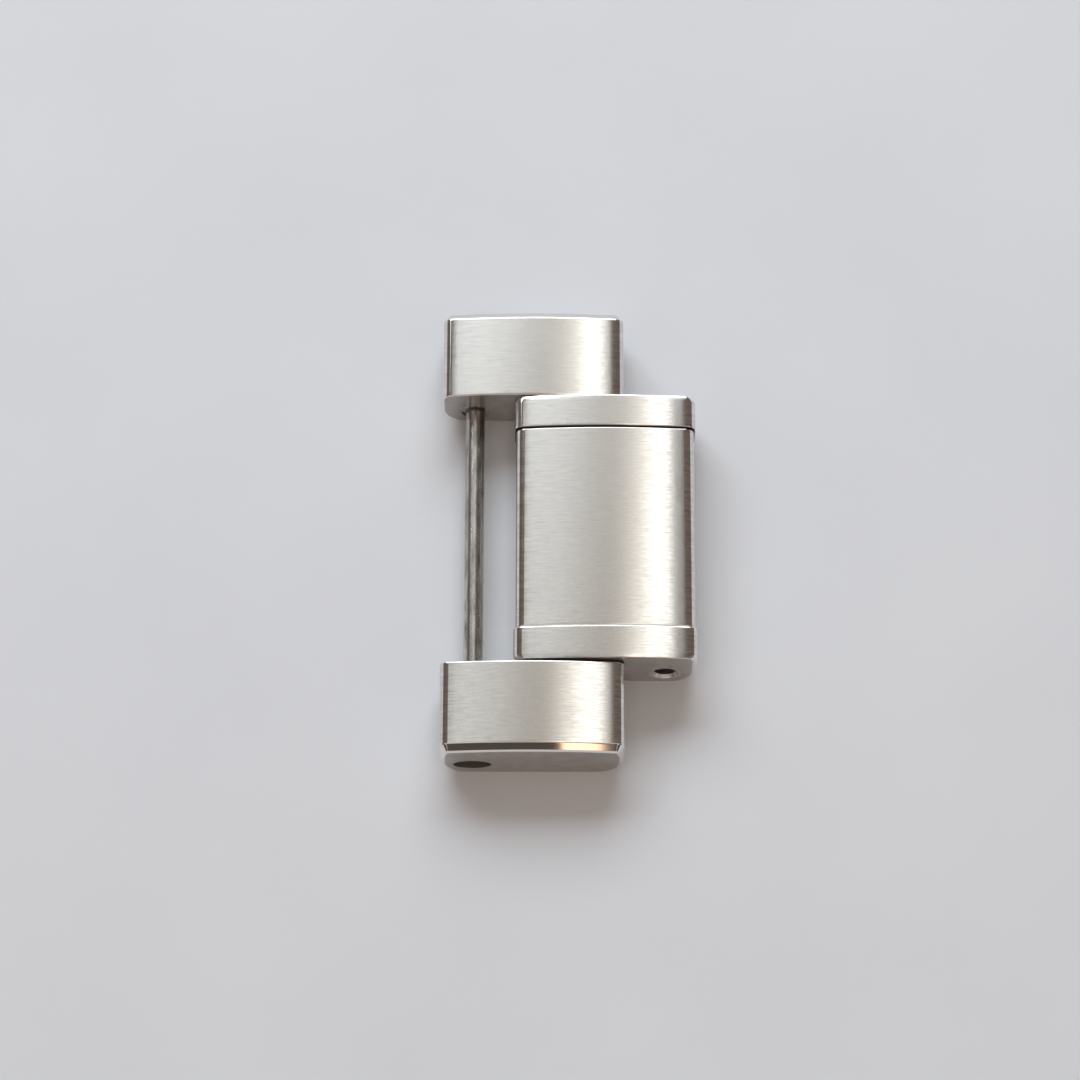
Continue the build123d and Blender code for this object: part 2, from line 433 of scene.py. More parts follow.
def finish_tree(tree, geometry, sharp_angle, material, bored_material=None):
    # Smooth shading with crisp edges, then plain geometry with its material
    normal = add_node(tree, "GeometryNodeInputNormal").outputs[0]
    lean_across = calculate(tree, "ABSOLUTE", parts_of(tree, normal)[1])
    curved = calculate(tree, "LESS_THAN", lean_across, FLAT_LEAN)
    angle = add_node(tree, "GeometryNodeInputMeshEdgeAngle").outputs["Unsigned Angle"]
    crisp = calculate(tree, "GREATER_THAN", angle, sharp_angle)
    faces = add_node(
        tree,
        "GeometryNodeSetShadeSmooth",
        {0: geometry, "Shade Smooth": curved},
        domain="FACE",
    )
    edges = add_node(
        tree,
        "GeometryNodeSetShadeSmooth",
        {0: faces.outputs[0], "Selection": crisp, "Shade Smooth": False},
        domain="EDGE",
    )
    real = add_node(tree, "GeometryNodeRealizeInstances", {0: edges.outputs[0]})
    painted = add_node(tree, "GeometryNodeSetMaterial", {0: real.outputs[0], "Material": material})
    if bored_material is not None:
        in_bore = calculate(tree, "GREATER_THAN", stored_value(tree, "bored"), 0.5)
        painted = add_node(
            tree,
            "GeometryNodeSetMaterial",
            {0: painted.outputs[0], "Selection": in_bore, "Material": bored_material},
        )
    add_node(tree, "NodeGroupOutput", {0: painted.outputs[0]})


print("edges sharper than", round(math.degrees(SHARP_ANGLE)), "degrees stay crisp")


# %% Tree: crowned body
def crowned_body_tree():
    # Carries the outline across by the section, closes it and cuts the holes
    tree = bpy.data.node_groups.new("crowned body", "GeometryNodeTree")
    add_socket(tree, "Outline", "Geometry")
    add_socket(tree, "Section", "Object")
    add_socket(tree, "Holes", "Object")
    add_socket(tree, "Sharp Angle", "Float", value=SHARP_ANGLE)
    add_socket(tree, "Material", "Material")
    add_socket(tree, "Bored Material", "Material")
    add_socket(tree, "Body", "Geometry", "OUTPUT")
    given = add_node(tree, "NodeGroupInput").outputs
    outline = given["Outline"]
    section = add_node(tree, "GeometryNodeObjectInfo", {"Object": given["Section"]}).outputs["Geometry"]
    holes = add_node(tree, "GeometryNodeObjectInfo", {"Object": given["Holes"]}).outputs["Geometry"]
    around = point_count(tree, outline)
    rows = point_count(tree, section)
    index = add_node(tree, "GeometryNodeInputIndex").outputs[0]

    def placed(geometry, point, row):
        # A geometry whose points lie on the section
        place = add_node(
            tree,
            "GeometryNodeGroup",
            {"Outline": outline, "Section": section, "Outline Point": point, "Section Row": row},
            node_tree=place_on_section,
        )
        return moved_to(tree, geometry, place.outputs["Place"])

    column, row = column_and_row(tree, index, rows)
    outline_point = calculate(tree, "FLOORED_MODULO", column, around)
    wall = placed(wrapped_grid(tree, around, rows), outline_point, row)
    back = placed(outline, index, 0)
    front = placed(outline, index, calculate(tree, "SUBTRACT", rows, 1.0))
    turned_back = add_node(tree, "GeometryNodeFlipFaces", {0: back}).outputs[0]
    joined = add_node(tree, "GeometryNodeJoinGeometry")
    for part in (wall, turned_back, front):
        tree.links.new(part, joined.inputs[0])
    cut = add_node(
        tree,
        "GeometryNodeMeshBoolean",
        {"Mesh 1": merged(tree, joined.outputs[0]), "Mesh 2": holes, "Self Intersection": True},
        operation="DIFFERENCE",
        solver="EXACT",
    )
    finish_tree(
        tree,
        cut.outputs["Mesh"],
        given["Sharp Angle"],
        given["Material"],
        given["Bored Material"],
    )
    return tree


crowned_body = crowned_body_tree()
print("nodes in the body tree:", len(crowned_body.nodes))

# %% [markdown]
# ## The tree for turned pieces
# Pins, bushes and the tools that cut the holes are all turned shapes: a half section swung round an axis
# across the bracelet. A cylinder primitive would lack the broken edges at the pin's tips and the bush's
# mouths, so a small tree swings any half section, and a stretch makes the oval mouths with it too.


# %% Tree: turned piece
def turned_piece_tree():
    # Swings a half section of radius and place round an axis that runs across the bracelet
    tree = bpy.data.node_groups.new("turned piece", "GeometryNodeTree")
    add_socket(tree, "Half Section", "Geometry")
    add_socket(tree, "Axis X", "Float")
    add_socket(tree, "Axis Height", "Float")
    add_socket(tree, "Stretch", "Float", value=1.0)
    add_socket(tree, "Segments", "Int", value=96)
    add_socket(tree, "Sharp Angle", "Float", value=SHARP_ANGLE)
    add_socket(tree, "Material", "Material")
    add_socket(tree, "Piece", "Geometry", "OUTPUT")
    given = add_node(tree, "NodeGroupInput").outputs
    rows = point_count(tree, given["Half Section"])
    index = add_node(tree, "GeometryNodeInputIndex").outputs[0]
    position = add_node(tree, "GeometryNodeInputPosition").outputs[0]
    column, row = column_and_row(tree, index, rows)
    radius, across, _ = parts_of(tree, value_at(tree, given["Half Section"], row, position, "FLOAT_VECTOR"))
    turn = calculate(tree, "MULTIPLY", calculate(tree, "DIVIDE", column, given["Segments"]), math.tau)
    sideways = calculate(tree, "MULTIPLY", radius, calculate(tree, "COSINE", turn))
    upwards = calculate(tree, "MULTIPLY", radius, calculate(tree, "SINE", turn))
    x = calculate(tree, "MULTIPLY_ADD", sideways, given["Stretch"], given["Axis X"])
    z = calculate(tree, "ADD", upwards, given["Axis Height"])
    place = add_node(tree, "ShaderNodeCombineXYZ", {0: x, 1: across, 2: z}).outputs[0]
    wall = moved_to(tree, wrapped_grid(tree, given["Segments"], rows), place)
    finish_tree(tree, merged(tree, wall), given["Sharp Angle"], given["Material"])
    return tree


turned_piece = turned_piece_tree()
print("nodes in the turning tree:", len(turned_piece.nodes))

# %% [markdown]
# ## From a tree to a plain mesh
# A tree works on a starting mesh. These helpers make that mesh from rows of points, run the tree on it
# with named inputs, and keep the evaluated result as a plain mesh without any modifier left on it.


# %% Helpers that run a tree
STORED_VALUES = ("outward", "bevel_share", "soft_inset", "end_inset", "bevel_inset", "bored")


def points_object(name, points, face=False, **attributes):
    # A mesh of points in millimetres, joined in order, with extra values stored on the points
    mesh = bpy.data.meshes.new(name)
    count = len(points)
    edges = [] if face else [(i, i + 1) for i in range(count - 1)]
    faces = [tuple(range(count))] if face else []
    mesh.from_pydata([tuple(MM * v for v in p) for p in points], edges, faces)
    for label, values in attributes.items():
        values = np.asarray(values, np.float32)
        kind = "FLOAT" if values.ndim == 1 else "FLOAT_VECTOR"
        stored = mesh.attributes.new(label, kind, "POINT")
        stored.data.foreach_set("value" if values.ndim == 1 else "vector", values.ravel())
    thing = bpy.data.objects.new(name, mesh)
    bpy.context.scene.collection.objects.link(thing)
    return thing


def run_tree(start, tree, name, **inputs):
    # The tree's result on a starting object, as a new object with a plain mesh
    modifier = start.modifiers.new("tree", "NODES")
    modifier.node_group = tree
    names = {item.name: item.identifier for item in tree.interface.items_tree if item.in_out == "INPUT"}
    for label, value in inputs.items():
        modifier[names[label.replace("_", " ")]] = value
    bpy.context.view_layer.update()
    evaluated = start.evaluated_get(bpy.context.evaluated_depsgraph_get())
    mesh = bpy.data.meshes.new_from_object(evaluated)
    start.modifiers.remove(modifier)
    bpy.data.objects.remove(start)
    for attribute in [a.name for a in mesh.attributes if a.name in STORED_VALUES]:
        mesh.attributes.remove(mesh.attributes[attribute])
    mesh.name = name
    result = bpy.data.objects.new(name, mesh)
    bpy.context.scene.collection.objects.link(result)
    return result


def half_section(name, rows):
    # A starting mesh for the turning tree, from rows of radius and place
    return points_object(name, [(radius, place, 0.0) for radius, place in rows])


def closed_volume(thing):
    # The volume in cubic millimetres, positive where the faces point outwards
    mesh = thing.data
    mesh.calc_loop_triangles()
    corners = np.array([[mesh.vertices[v].co for v in t.vertices] for t in mesh.loop_triangles]) / MM
    return float(np.einsum("ij,ij->i", corners[:, 0], np.cross(corners[:, 1], corners[:, 2])).sum() / 6)


print("inputs of the turning tree:", [s.name for s in turned_piece.interface.items_tree])

# %% [markdown]
# ## Streaks shared by all the steel
# Brushed, drawn and turned steel differ in the direction of their fine lines, not in their nature.
# One shader group makes them all: noise squeezed hard across the lines and stretched along them, in a
# fine, a medium and a broad layer. Each material sets how the pattern is squeezed, and then uses the
# shade for colour and gloss and the height for the relief.


# %% Group: metal streaks
FINE_DETAIL = 3.0
MEDIUM_DETAIL = 2.0
BROAD_DETAIL = 3.0
MEDIUM_SHARE = 0.22
MEDIUM_SQUEEZE = (0.6, 0.33, 0.6)
BROAD_SQUEEZE = (1.4, 0.09, 1.4)


def noise(tree, place, detail, scale=1.0):
    # Soft noise from 0 to 1
    inputs = {"Vector": place, "Scale": scale, "Detail": detail}
    return add_node(tree, "ShaderNodeTexNoise", inputs).outputs[0]


def streak_group():
    # Squeeze says how many cells of the noise fit in a metre along, across and upwards
    tree = bpy.data.node_groups.new("metal streaks", "ShaderNodeTree")
    add_socket(tree, "Squeeze", "Vector", value=(1.0, 1.0, 1.0))
    add_socket(tree, "Broad Share", "Float", value=0.35)
    add_socket(tree, "Shade", "Float", "OUTPUT")
    add_socket(tree, "Height", "Float", "OUTPUT")
    given = add_node(tree, "NodeGroupInput").outputs
    place = add_node(tree, "ShaderNodeTexCoord").outputs["Object"]
    squeezed = vector_step(tree, "MULTIPLY", place, given["Squeeze"])
    fine = noise(tree, squeezed, FINE_DETAIL)
    medium_place = vector_step(tree, "MULTIPLY", squeezed, MEDIUM_SQUEEZE)
    medium = noise(tree, medium_place, MEDIUM_DETAIL)
    broad_place = vector_step(tree, "MULTIPLY", squeezed, BROAD_SQUEEZE)
    broad = noise(tree, broad_place, BROAD_DETAIL)
    fine_part = calculate(tree, "MULTIPLY", fine, 1.0 - MEDIUM_SHARE)
    lines = calculate(tree, "MULTIPLY_ADD", medium, MEDIUM_SHARE, fine_part)
    broad_share = given["Broad Share"]
    line_part = calculate(tree, "MULTIPLY", lines, calculate(tree, "SUBTRACT", 1.0, broad_share))
    shade = calculate(tree, "MULTIPLY_ADD", broad, broad_share, line_part)
    add_node(tree, "NodeGroupOutput", {"Shade": shade, "Height": lines})
    return tree


metal_streaks = streak_group()
print("streak group sockets:", [s.name for s in metal_streaks.interface.items_tree])

# %% [markdown]
# ## Which faces are brushed
# Only the crowned top and the ends were brushed, along the bracelet. The bevel and its rounded rim were
# polished, and the flat side faces are satin. The rounded corners between top and ends are smooth too:
# they mirror the dark of the room as one crisp band. How far the surface normal leans across the
# bracelet and along it tells the finishes apart. The normal is the piece's own, so they stay where they
# are when the centre link swings.


# %% Face finish
def smooth_step(tree, value, low, high):
    # 0 below low, 1 above high, smooth between them, each a number or a socket
    return add_node(
        tree,
        "ShaderNodeMapRange",
        {"Value": value, "From Min": low, "From Max": high},
        interpolation_type="SMOOTHSTEP",
    ).outputs["Result"]


POLISH_STARTS = (0.10, 0.30)
SATIN_STARTS = (0.94, 0.99)
CORNER_STARTS = (0.106, 0.118)
CORNER_ENDS = (0.80, 0.84)


def finish_masks(tree):
    # Where the surface is polished, satin and part of a rounded corner, each from 0 to 1
    normal = add_node(tree, "ShaderNodeTexCoord").outputs["Normal"]
    lean = add_node(tree, "ShaderNodeSeparateXYZ", {0: normal}).outputs
    along = calculate(tree, "ABSOLUTE", lean[0])
    across = calculate(tree, "ABSOLUTE", lean[1])
    satin = smooth_step(tree, across, *SATIN_STARTS)
    polished = calculate(tree, "SUBTRACT", smooth_step(tree, across, *POLISH_STARTS), satin)
    past_crown = smooth_step(tree, along, *CORNER_STARTS)
    corner = calculate(tree, "SUBTRACT", past_crown, smooth_step(tree, along, *CORNER_ENDS))
    return polished, satin, corner


corner_angles = [round(math.degrees(math.asin(lean)), 1) for lean in (CORNER_STARTS[0], CORNER_ENDS[1])]
print("the smooth corners lean from and to, in degrees:", corner_angles)


# %% [markdown]
# ## Small tools for materials
# Each material keeps its own Principled shader. These helpers make a material, blend two colours or two
# values, move a value to another range, place the streak group and turn its height into relief.


# %% Helpers for materials
def new_material(name, color, roughness, metallic=1.0):
    # A material with its principled shader, which stays in the material itself
    material = bpy.data.materials.new(name)
    material.use_nodes = True
    tree = material.node_tree
    shader = tree.nodes["Principled BSDF"]
    shader.inputs["Base Color"].default_value = (*color, 1.0)
    shader.inputs["Roughness"].default_value = roughness
    shader.inputs["Metallic"].default_value = metallic
    return material, tree, shader


def mix_colors(tree, share, first, second):
    # A blend of two colours, each a value or a socket
    node = add_node(tree, "ShaderNodeMix", data_type="RGBA")
    for key, value in (("Factor", share), ("A", first), ("B", second)):
        socket = next(s for s in node.inputs if s.name == key and s.enabled)
        if isinstance(value, bpy.types.NodeSocket):
            tree.links.new(value, socket)
        else:
            socket.default_value = value if key == "Factor" else (*value, 1.0)
    return next(s for s in node.outputs if s.enabled)


def mix_values(tree, share, first, second):
    # A blend of two values
    return add_node(tree, "ShaderNodeMix", {0: share, 2: first, 3: second}, data_type="FLOAT").outputs[0]


def mapped(tree, value, low, high, from_low=0.0, from_high=1.0):
    # A value moved from one range to another
    return add_node(
        tree,
        "ShaderNodeMapRange",
        {"Value": value, "From Min": from_low, "From Max": from_high, "To Min": low, "To Max": high},
    ).outputs["Result"]


def streaks_in(tree, squeeze, broad_share):
    # The streak group with one metal's values
    inputs = {"Squeeze": squeeze, "Broad Share": broad_share}
    return add_node(tree, "ShaderNodeGroup", inputs, node_tree=metal_streaks).outputs


def add_relief(tree, shader, height, strength, depth):
    # Fine relief from a height, its depth in millimetres
    inputs = {"Height": height, "Strength": strength, "Distance": depth * MM}
    bump = add_node(tree, "ShaderNodeBump", inputs)
    tree.links.new(bump.outputs[0], shader.inputs["Normal"])


material_helpers = (new_material, mix_colors, mix_values, mapped, streaks_in, add_relief)
print("helpers for materials:", [f.__name__ for f in material_helpers])

# %% [markdown]
# ## Brushed steel
# The links are of steel with a fine straight grain. The lines are some hundredths of a millimetre wide
# and some tenths long. They lighten and darken the metal a little, they change its gloss, and their
# relief breaks up the edges of reflections. The anisotropic shader spreads reflections across the grain
# but not along it, so it needs a tangent that says which way the grain runs. A tangent round the axis
# across the bracelet suits the tops and ends. On the flat side faces it would draw rings, so these take
# one round the upright axis. The smooth parts are glossier and have no relief.
# The seam between the block and the back strip is darkened with painted shade, which makes it a clear dark
# line.

# %% Material: brushed steel
PLAIN_STEEL = ((0.74, 0.72, 0.69), 0.30)
STEEL_ANISOTROPY = 0.95
QUARTER_TURN = 0.25
GRAIN_SQUEEZE = (1700.0, 17000.0, 1700.0)
GRAIN_BROAD_SHARE = 0.2
GRAIN_DARK = (0.60, 0.575, 0.545)
GRAIN_LIGHT = (0.89, 0.87, 0.835)
GRAIN_COLOR_SHADES = (0.36, 0.64)
GRAIN_GLOSS_SHADES = (0.38, 0.62)
GRAIN_ROUGHNESS = (0.18, 0.13)
GRAIN_STRENGTH = 0.22
GRAIN_DEPTH = 0.004
SATIN_DARK = (0.50, 0.475, 0.455)
SATIN_LIGHT = (0.60, 0.57, 0.545)
SATIN_ROUGHNESS = 0.28
SMOOTH_COLOR = (0.82, 0.80, 0.775)
SMOOTH_ROUGHNESS = 0.07
# Colour of the painted shade in the seam behind the block, and the distances over which it fades
SEAM_SHADE = (0.10, 0.088, 0.078)
SEAM_SHADE_FADE = (0.035, 0.055)

brushed_steel, tree, shader = new_material("brushed_steel", *PLAIN_STEEL)
shader.inputs["Anisotropic"].default_value = STEEL_ANISOTROPY
shader.inputs["Anisotropic Rotation"].default_value = QUARTER_TURN
streaks = streaks_in(tree, GRAIN_SQUEEZE, GRAIN_BROAD_SHARE)
polished, satin, corner = finish_masks(tree)
smooth = calculate(tree, "MAXIMUM", polished, corner)

along_top = add_node(tree, "ShaderNodeTangent", direction_type="RADIAL", axis="Y").outputs[0]
along_side = add_node(tree, "ShaderNodeTangent", direction_type="RADIAL", axis="Z").outputs[0]
top_share = vector_step(tree, "SCALE", along_top, scale=calculate(tree, "SUBTRACT", 1.0, satin))
side_share = vector_step(tree, "SCALE", along_side, scale=satin)
tree.links.new(vector_step(tree, "ADD", top_share, side_share), shader.inputs["Tangent"])

grain = mapped(tree, streaks["Shade"], 0.0, 1.0, *GRAIN_COLOR_SHADES)
grain_color = mix_colors(tree, grain, GRAIN_DARK, GRAIN_LIGHT)
satin_color = mix_colors(tree, grain, SATIN_DARK, SATIN_LIGHT)
side_color = mix_colors(tree, satin, grain_color, satin_color)
metal_color = mix_colors(tree, polished, side_color, SMOOTH_COLOR)

# Painted shade: the colour darkens to a dark line along the seam between the block and the back strip
place = add_node(tree, "ShaderNodeTexCoord").outputs["Object"]
seam_place = box_mm("centre_block")[1].y * MM
from_seam = calculate(tree, "ABSOLUTE", calculate(tree, "SUBTRACT", parts_of(tree, place)[1], seam_place))
outside_seam_shade = smooth_step(tree, from_seam, *[distance * MM for distance in SEAM_SHADE_FADE])
tree.links.new(mix_colors(tree, outside_seam_shade, SEAM_SHADE, metal_color), shader.inputs["Base Color"])

grain_gloss = mapped(tree, streaks["Shade"], *GRAIN_ROUGHNESS, *GRAIN_GLOSS_SHADES)
side_gloss = mix_values(tree, satin, grain_gloss, SATIN_ROUGHNESS)
tree.links.new(mix_values(tree, smooth, side_gloss, SMOOTH_ROUGHNESS), shader.inputs["Roughness"])

centred_height = calculate(tree, "SUBTRACT", streaks["Height"], 0.5)
relief = calculate(tree, "MULTIPLY", centred_height, calculate(tree, "SUBTRACT", 1.0, smooth))
add_relief(tree, shader, relief, GRAIN_STRENGTH, GRAIN_DEPTH)
print("brushed steel nodes:", len(tree.nodes))

# %% [markdown]
# ## Drawn, turned and bored steel
# A pin is cut from drawn wire, so its faint lines run along it, across the bracelet. A bush is turned,
# so its lines run round its axis, and on its flat end they are rings. The walls of the bores are the
# same kind of surface but rougher, because nobody polishes the inside of a hole, and their darker
# colour is painted shade for the shade inside the holes.
# The three differ only in their values, so one function makes them all.


# %% Materials: drawn, turned and bored steel
def streaked_steel(name, plain, squeeze, broad_share, contrast, dark, light, roughness, gloss, relief):
    # Streaked metal: contrast and gloss are the ranges of shade that its colour and roughness follow,
    # plain is its colour and roughness without streaks, relief its strength and its depth
    material, tree, shader = new_material(name, *plain)
    streaks = streaks_in(tree, squeeze, broad_share)
    shade = mapped(tree, streaks["Shade"], 0.0, 1.0, *contrast)
    tree.links.new(mix_colors(tree, shade, dark, light), shader.inputs["Base Color"])
    tree.links.new(mapped(tree, streaks["Shade"], *roughness, *gloss), shader.inputs["Roughness"])
    add_relief(tree, shader, streaks["Height"], *relief)
    return material


drawn_steel = streaked_steel(
    "drawn_steel",
    plain=((0.66, 0.64, 0.61), 0.25),
    squeeze=(5000.0, 1100.0, 5000.0),
    broad_share=0.3,
    contrast=(0.38, 0.60),
    dark=(0.24, 0.22, 0.20),
    light=(0.64, 0.62, 0.58),
    roughness=(0.34, 0.20),
    gloss=(0.3, 0.7),
    relief=(0.25, 0.003),
)
turned_steel = streaked_steel(
    "turned_steel",
    plain=((0.70, 0.68, 0.65), 0.25),
    squeeze=(2200.0, 16000.0, 2200.0),
    broad_share=0.3,
    contrast=(0.3, 0.7),
    dark=(0.60, 0.58, 0.55),
    light=(0.80, 0.78, 0.75),
    roughness=(0.36, 0.20),
    gloss=(0.3, 0.7),
    relief=(0.25, 0.003),
)
# Painted shade: the dark colours of the bores stand in for the shade inside the holes
bored_steel = streaked_steel(
    "bored_steel",
    plain=((0.42, 0.39, 0.36), 0.4),
    squeeze=(1500.0, 12000.0, 1500.0),
    broad_share=0.4,
    contrast=(0.35, 0.65),
    dark=(0.26, 0.235, 0.21),
    light=(0.50, 0.47, 0.43),
    roughness=(0.50, 0.32),
    gloss=(0.35, 0.65),
    relief=(0.4, 0.006),
)
print("materials so far:", [m.name for m in bpy.data.materials])

# %% [markdown]
# ## Cutting tools for the holes
# A hole is cut by a plain turned plug that runs past both faces. The outer links have a bore for the pin
# and its friction tube, an oval mouth on the outside and a blind bore for the hidden hinge pin.
# The block and the strips have the two bores that their bushes fill.

# %% Plugs
OVERRUN = 0.5
PLUG_OVERLAP = 0.02
PLUG_SEGMENTS = 128
TEST_SIZE = 1.0
link_pin_low, link_pin_high = box_mm("link_pin")
link_pin_x = (link_pin_low.x + link_pin_high.x) / 2
bush_low, bush_high = box_mm("free_end_bush")
free_bore_x = (bush_low.x + bush_high.x) / 2


def plug(name, x, radius, one_end, other_end, stretch=1.0):
    # A closed plug across the bracelet
    back, front = max(one_end, other_end), min(one_end, other_end)
    start = half_section(name, [(0.0, back), (radius, back), (radius, front), (0.0, front)])
    return run_tree(
        start,
        turned_piece,
        name,
        Axis_X=x * MM,
        Axis_Height=PIN_HEIGHT * MM,
        Stretch=stretch,
        Segments=PLUG_SEGMENTS,
    )


def joined_plugs(name, plugs):
    # Several plugs as one object
    vertices, faces = [], []
    for one in plugs:
        base = len(vertices)
        vertices += [tuple(v.co) for v in one.data.vertices]
        faces += [tuple(base + v for v in p.vertices) for p in one.data.polygons]
        bpy.data.objects.remove(one)
    mesh = bpy.data.meshes.new(name)
    mesh.from_pydata(vertices, [], faces)
    bored = mesh.attributes.new("bored", "FLOAT", "FACE")
    bored.data.foreach_set("value", np.ones(len(faces), np.float32))
    thing = bpy.data.objects.new(name, mesh)
    bpy.context.scene.collection.objects.link(thing)
    return thing


def outer_link_plugs(inner_face, outer_face):
    # The three plugs of one outer link
    side = 1 if outer_face > inner_face else -1
    outside = outer_face + side * OVERRUN
    inside = inner_face - side * OVERRUN
    bore_end = outer_face - side * MOUTH_DEPTH
    mouth_floor = bore_end - side * PLUG_OVERLAP
    hinge_floor = inner_face + side * HINGE_BORE_DEPTH
    oval = MOUTH_HALF_LENGTH / MOUTH_HALF_HEIGHT
    plugs = [
        plug("bore_plug", link_pin_x, TUBE_RADIUS, bore_end, inside),
        plug("mouth_plug", link_pin_x, MOUTH_HALF_HEIGHT, outside, mouth_floor, oval),
        plug("hinge_plug", 0.0, HINGE_PIN_RADIUS, inside, hinge_floor),
    ]
    return joined_plugs("outer_link_plugs", plugs)


def bushed_plugs(back, front):
    # The two plugs of a block or a strip
    ends = (back + OVERRUN, front - OVERRUN)
    plugs = [plug("bush_plug", x, BUSH_RADIUS, *ends) for x in (0.0, free_bore_x)]
    return joined_plugs("bushed_plugs", plugs)


test_plug = plug("test_plug", 0.0, TEST_SIZE, TEST_SIZE, 0.0)
print(f"a plug of {TEST_SIZE} mm has {closed_volume(test_plug):.3f} cubic mm")
bpy.data.objects.remove(test_plug)

# %% [markdown]
# ## The crowned pieces
# Each crowned piece takes its outline from its node's own box, so it fills the place that the packed
# model gives it, and then stands for that node. A mirrored or scaled copy could turn a piece inside out,
# so each one is built afresh, and its volume is printed: it is positive when all faces point outwards.


# %% Build a crowned piece
def crowned_piece(name, node, body, rows, plugs):
    # One body from its outline, section and plugs, riding with its body of the frame
    low, high = box_mm(node)
    points, outward, share = side_outline(low.x, high.x, low.z, high.z)
    outline = points_object(
        "outline",
        [(x, 0.0, z) for x, z in points],
        face=True,
        outward=[(x, 0.0, z) for x, z in outward],
        bevel_share=share,
    )
    section = points_object(
        "section",
        [(0.0, place, 0.0) for place in rows[:, 0]],
        soft_inset=MM * rows[:, 1],
        end_inset=MM * rows[:, 2],
        bevel_inset=MM * rows[:, 3],
    )
    piece = run_tree(
        outline,
        crowned_body,
        name,
        Section=section,
        Holes=plugs,
        Material=brushed_steel,
        Bored_Material=bored_steel,
    )
    bpy.data.objects.remove(section)
    bpy.data.objects.remove(plugs)
    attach(piece, body)
    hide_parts(node)
    print(f"{name}: {len(piece.data.polygons)} faces, {closed_volume(piece):.2f} cubic mm")
    return piece


for end, edges in (("back", ("bevelled", "soft")), ("front", ("soft", "bevelled"))):
    low, high = box_mm("outer_link_" + end)
    inner_face, outer_face = (low.y, high.y) if end == "back" else (high.y, low.y)
    crowned_piece(
        "crowned_outer_link_" + end,
        "outer_link_" + end,
        "outer_links",
        section_rows(high.y, low.y, *edges),
        outer_link_plugs(inner_face, outer_face),
    )

for node, edges in (
    ("side_strip_back", ("rounded", "soft")),
    ("side_strip_front", ("soft", "rounded")),
    ("centre_block", ("soft", "soft")),
):
    low, high = box_mm(node)
    rows = section_rows(high.y, low.y, *edges)
    crowned_piece("crowned_" + node, node, "centre_link", rows, bushed_plugs(high.y, low.y))

# %% [markdown]
# ## Pins and bushes
# The push pin is plain drawn wire with broken tips. The two bushes are alike: their ends lie flush with
# the strips, and the mouths are slightly broken, which is the light ring round the free hole.


# %% Turn the pins and bushes
def turned(name, node, body, rows, material):
    # One turned piece on the axis of its node
    low, high = box_mm(node)
    start = half_section(name, rows)
    piece = run_tree(
        start,
        turned_piece,
        name,
        Axis_X=(low.x + high.x) / 2 * MM,
        Axis_Height=(low.z + high.z) / 2 * MM,
        Material=material,
    )
    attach(piece, body)
    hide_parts(node)
    print(f"{name}: {len(piece.data.polygons)} faces, {closed_volume(piece):.2f} cubic mm")
    return piece


def pin_rows(node):
    # Half section of a pin with broken tips
    low, high = box_mm(node)
    radius = (high.x - low.x) / 2
    neck = radius - PIN_TIP_CHAMFER
    return [
        (0.0, high.y),
        (neck, high.y),
        (radius, high.y - PIN_TIP_CHAMFER),
        (radius, low.y + PIN_TIP_CHAMFER),
        (neck, low.y),
        (0.0, low.y),
    ]


def bush_rows(node):
    # Half section of a bush with broken mouths, closed on itself
    low, high = box_mm(node)
    mouth = BUSH_BORE_RADIUS + BUSH_MOUTH_CHAMFER
    return [
        (BUSH_RADIUS, high.y),
        (BUSH_RADIUS, low.y),
        (mouth, low.y),
        (BUSH_BORE_RADIUS, low.y + BUSH_MOUTH_CHAMFER),
        (BUSH_BORE_RADIUS, high.y - BUSH_MOUTH_CHAMFER),
        (mouth, high.y),
        (BUSH_RADIUS, high.y),
    ]


turned("round_link_pin", "link_pin", "push_pin", pin_rows("link_pin"), drawn_steel)
turned("round_hinge_pin", "hinge_pin", "outer_links", pin_rows("hinge_pin"), drawn_steel)
for node in ("free_end_bush", "hinge_bush"):
    turned("turned_" + node, node, "centre_link", bush_rows(node), turned_steel)
for node in ("friction_tube_back", "friction_tube_front"):
    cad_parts[node].data.materials.clear()
    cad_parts[node].data.materials.append(turned_steel)

# %% [markdown]
# ## The paper it lies on
# The link lies on pale matt paper. A metal shows little but what is round it, so the paper matters: it
# is what the side faces and the lower corners reflect. A faint mottle keeps it from looking like plastic.

# %% Floor
FLOOR_HALF_SIZE = 0.6
FLOOR_CORNERS = ((-1, -1), (1, -1), (1, 1), (-1, 1))
PAPER_DARK = (0.765, 0.772, 0.795)
PAPER_LIGHT = (0.795, 0.802, 0.822)
PLAIN_PAPER = ((0.80, 0.80, 0.81), 0.85)
PAPER_MOTTLE_SCALE = 90.0
PAPER_MOTTLE_DETAIL = 3.0
PAPER_MOTTLE_SHADES = (0.3, 0.7)

paper, tree, shader = new_material("pale_paper", *PLAIN_PAPER, metallic=0.0)
place = add_node(tree, "ShaderNodeTexCoord").outputs["Object"]
mottle_noise = noise(tree, place, PAPER_MOTTLE_DETAIL, PAPER_MOTTLE_SCALE)
mottle = mapped(tree, mottle_noise, 0.0, 1.0, *PAPER_MOTTLE_SHADES)
tree.links.new(mix_colors(tree, mottle, PAPER_DARK, PAPER_LIGHT), shader.inputs["Base Color"])
floor_mesh = bpy.data.meshes.new("floor")
floor_points = [(x * FLOOR_HALF_SIZE, y * FLOOR_HALF_SIZE, 0.0) for x, y in FLOOR_CORNERS]
floor_mesh.from_pydata(floor_points, [], [(0, 1, 2, 3)])
floor_mesh.materials.append(paper)
floor = bpy.data.objects.new("floor", floor_mesh)
bpy.context.scene.collection.objects.link(floor)
floor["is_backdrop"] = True
print("floor of", 2 * FLOOR_HALF_SIZE, "m")

